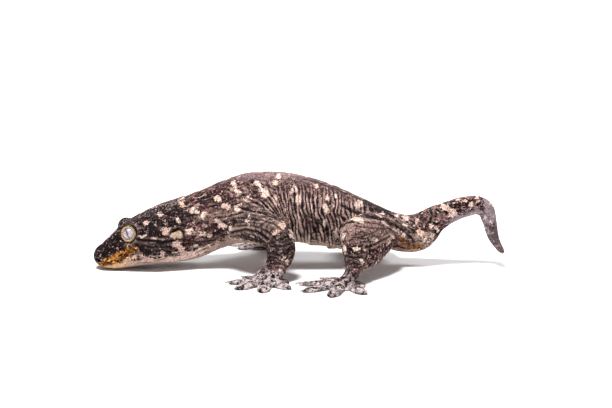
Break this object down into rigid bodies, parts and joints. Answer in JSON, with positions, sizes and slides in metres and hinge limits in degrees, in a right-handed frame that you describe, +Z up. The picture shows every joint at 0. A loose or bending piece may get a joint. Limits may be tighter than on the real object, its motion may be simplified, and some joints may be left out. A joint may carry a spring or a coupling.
{
  "type": "new caledonian giant gecko",
  "caption": "Life-size still model of a New Caledonian giant gecko, walking low with its head down, chin on the floor and tail curled.",
  "frame": {"origin": "on the floor, under the middle of the whole animal's box", "axes": "+Z up; the animal faces -X, its tail is at +X and its left side is at -Y"},
  "size_m": [0.318, 0.232, 0.073],
  "materials": {
    "mottled_hide": "granular scales, dark grey-brown with pinkish cream blotches",
    "tail_hide": "fine ringed granules, lilac-grey",
    "foot_hide": "grey toe pads with dark mottles",
    "silver_eye": "clear gloss over a silver-white iris with a slit pupil"
  },
  "bodies": {
    "root": {"head": "mottled_hide", "neck": "mottled_hide", "torso": "mottled_hide", "tail_base": "tail_hide", "tail_middle": "tail_hide", "tail_tip": "tail_hide", "leg_front_left": "mottled_hide", "leg_front_right": "mottled_hide", "leg_hind_left": "mottled_hide", "leg_hind_right": "mottled_hide", "hand_left": "foot_hide", "hand_right": "foot_hide", "foot_left": "foot_hide", "foot_right": "foot_hide", "eye_left": "silver_eye", "eye_right": "silver_eye"}
  },
  "joints": []
}
